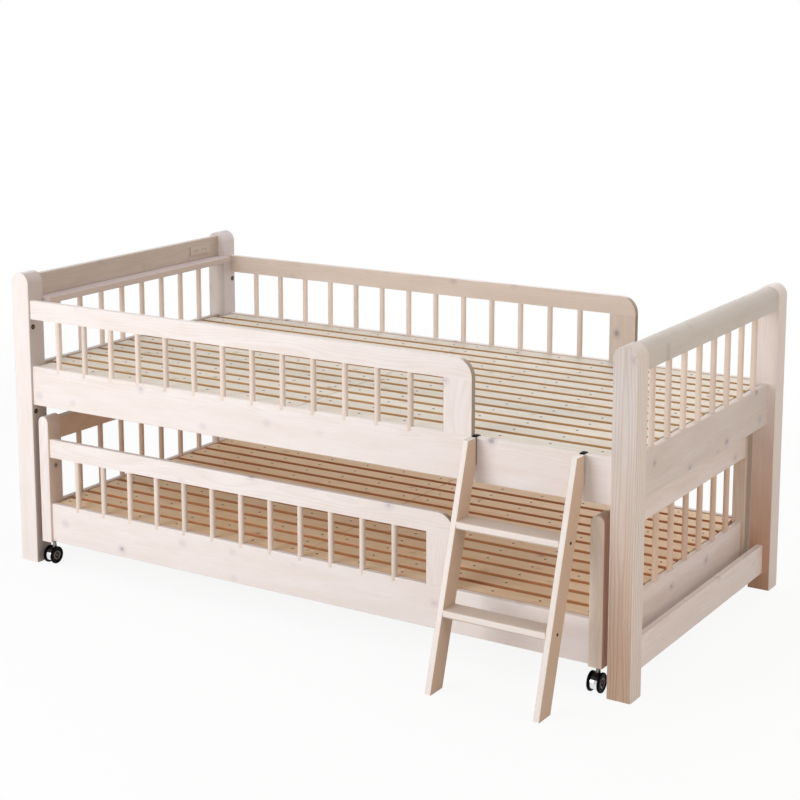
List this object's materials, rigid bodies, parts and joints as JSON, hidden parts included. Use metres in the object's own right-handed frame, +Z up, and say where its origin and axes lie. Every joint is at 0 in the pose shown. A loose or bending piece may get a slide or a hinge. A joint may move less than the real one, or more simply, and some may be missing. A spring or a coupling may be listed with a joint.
{
  "type": "bunk bed",
  "caption": "Low wooden bed with slatted decks, spindle guard rails, a hook-on ladder and a lower bed on casters that rolls out from underneath.",
  "frame": {"origin": "on the floor, at the middle of the bounding box of the closed bed with its ladder hooked on", "axes": "+X along the bed from the head to the foot, +Y from the front, where the ladder hangs, to the back, +Z up"},
  "size_m": [2.09, 1.276, 0.922],
  "materials": {
    "whitewashed_pine": "matte whitewash",
    "plain_pine": "planed, no finish",
    "dark_nail": "dark",
    "plated_nut": "satin",
    "black_strap": "satin",
    "bracket_steel": "zinc",
    "caster_chrome": "polished",
    "wheel_plastic": "matte",
    "outlet_plastic": "satin"
  },
  "bodies": {
    "upper_bed": {"head_top_board": "whitewashed_pine", "head_shelf": "whitewashed_pine", "head_spindles": "whitewashed_pine", "head_lower_board": "whitewashed_pine", "head_stretcher": "whitewashed_pine", "outlet_unit": "outlet_plastic", "foot_top_rail": "whitewashed_pine", "foot_spindles": "whitewashed_pine", "foot_lower_board": "whitewashed_pine", "foot_stretcher": "whitewashed_pine", "side_rail_front": "whitewashed_pine", "side_rail_rear": "whitewashed_pine", "guard_rail_front": "whitewashed_pine", "guard_rail_rear": "whitewashed_pine", "guard_end_posts": "whitewashed_pine", "guard_spindles_front": "whitewashed_pine", "guard_spindles_rear": "whitewashed_pine", "upper_corner_brackets": "bracket_steel", "upper_bolts": "bracket_steel", "post_insert_nuts": "plated_nut", "head_post_front": "whitewashed_pine", "head_post_rear": "whitewashed_pine", "foot_post_front": "whitewashed_pine", "foot_post_rear": "whitewashed_pine", "upper_ledgers": "plain_pine", "upper_slats_head": "plain_pine", "upper_slats_foot": "plain_pine", "upper_battens": "plain_pine", "upper_slat_nails": "dark_nail"},
    "trundle": {"lower_top_boards": "whitewashed_pine", "lower_end_boards": "whitewashed_pine", "lower_end_spindles": "whitewashed_pine", "lower_guard_rail": "whitewashed_pine", "lower_guard_end_post": "whitewashed_pine", "lower_guard_spindles": "whitewashed_pine", "lower_corner_brackets": "bracket_steel", "lower_bolts": "bracket_steel", "lower_side_rail_front": "whitewashed_pine", "lower_side_rail_rear": "whitewashed_pine", "lower_ledgers": "plain_pine", "lower_slats_head": "plain_pine", "lower_slats_foot": "plain_pine", "lower_battens": "plain_pine", "lower_slat_nails": "dark_nail", "caster_sockets": "bracket_steel", "lower_head_posts": "whitewashed_pine", "lower_foot_posts": "whitewashed_pine"},
    "ladder": {"ladder_stringer_left": "whitewashed_pine", "ladder_stringer_right": "whitewashed_pine", "ladder_treads": "whitewashed_pine", "ladder_hooks": "black_strap", "ladder_screws": "bracket_steel"},
    "caster_head_front": {"caster_body_head_front": "caster_chrome"},
    "wheels_head_front": {"caster_wheels_head_front": "wheel_plastic"},
    "caster_head_rear": {"caster_body_head_rear": "caster_chrome"},
    "wheels_head_rear": {"caster_wheels_head_rear": "wheel_plastic"},
    "caster_foot_front": {"caster_body_foot_front": "caster_chrome"},
    "wheels_foot_front": {"caster_wheels_foot_front": "wheel_plastic"},
    "caster_foot_rear": {"caster_body_foot_rear": "caster_chrome"},
    "wheels_foot_rear": {"caster_wheels_foot_rear": "wheel_plastic"}
  },
  "joints": [
    {"name": "trundle_roll_out", "type": "slide", "parent": "upper_bed", "child": "trundle", "axis": [0, -1, 0], "range_m": [0, 1]},
    {"name": "ladder_lift", "type": "slide", "parent": "upper_bed", "child": "ladder", "axis": [0, 0, 1], "range_m": [0, 1.15]},
    {"name": "swivel_head_front", "type": "hinge", "parent": "trundle", "child": "caster_head_front", "pos_m": [-0.938, -0.376, 0.0712], "axis": [0, 0, 1], "continuous": true},
    {"name": "wheel_spin_head_front", "type": "hinge", "parent": "caster_head_front", "child": "wheels_head_front", "pos_m": [-0.938, -0.384, 0.027], "axis": [1, 0, 0], "continuous": true},
    {"name": "swivel_head_rear", "type": "hinge", "parent": "trundle", "child": "caster_head_rear", "pos_m": [-0.938, 0.602, 0.0712], "axis": [0, 0, 1], "continuous": true},
    {"name": "wheel_spin_head_rear", "type": "hinge", "parent": "caster_head_rear", "child": "wheels_head_rear", "pos_m": [-0.938, 0.594, 0.027], "axis": [1, 0, 0], "continuous": true},
    {"name": "swivel_foot_front", "type": "hinge", "parent": "trundle", "child": "caster_foot_front", "pos_m": [0.938, -0.376, 0.0712], "axis": [0, 0, 1], "continuous": true},
    {"name": "wheel_spin_foot_front", "type": "hinge", "parent": "caster_foot_front", "child": "wheels_foot_front", "pos_m": [0.938, -0.384, 0.027], "axis": [1, 0, 0], "continuous": true},
    {"name": "swivel_foot_rear", "type": "hinge", "parent": "trundle", "child": "caster_foot_rear", "pos_m": [0.938, 0.602, 0.0712], "axis": [0, 0, 1], "continuous": true},
    {"name": "wheel_spin_foot_rear", "type": "hinge", "parent": "caster_foot_rear", "child": "wheels_foot_rear", "pos_m": [0.938, 0.594, 0.027], "axis": [1, 0, 0], "continuous": true}
  ],
  "couplings": [
    {"joint": "ladder_lift", "follows": "trundle_roll_out", "ratio": 1.15},
    {"joint": "wheel_spin_head_front", "follows": "trundle_roll_out", "rad_per_m": 37.037},
    {"joint": "wheel_spin_head_rear", "follows": "trundle_roll_out", "rad_per_m": 37.037},
    {"joint": "wheel_spin_foot_front", "follows": "trundle_roll_out", "rad_per_m": 37.037},
    {"joint": "wheel_spin_foot_rear", "follows": "trundle_roll_out", "rad_per_m": 37.037}
  ]
}
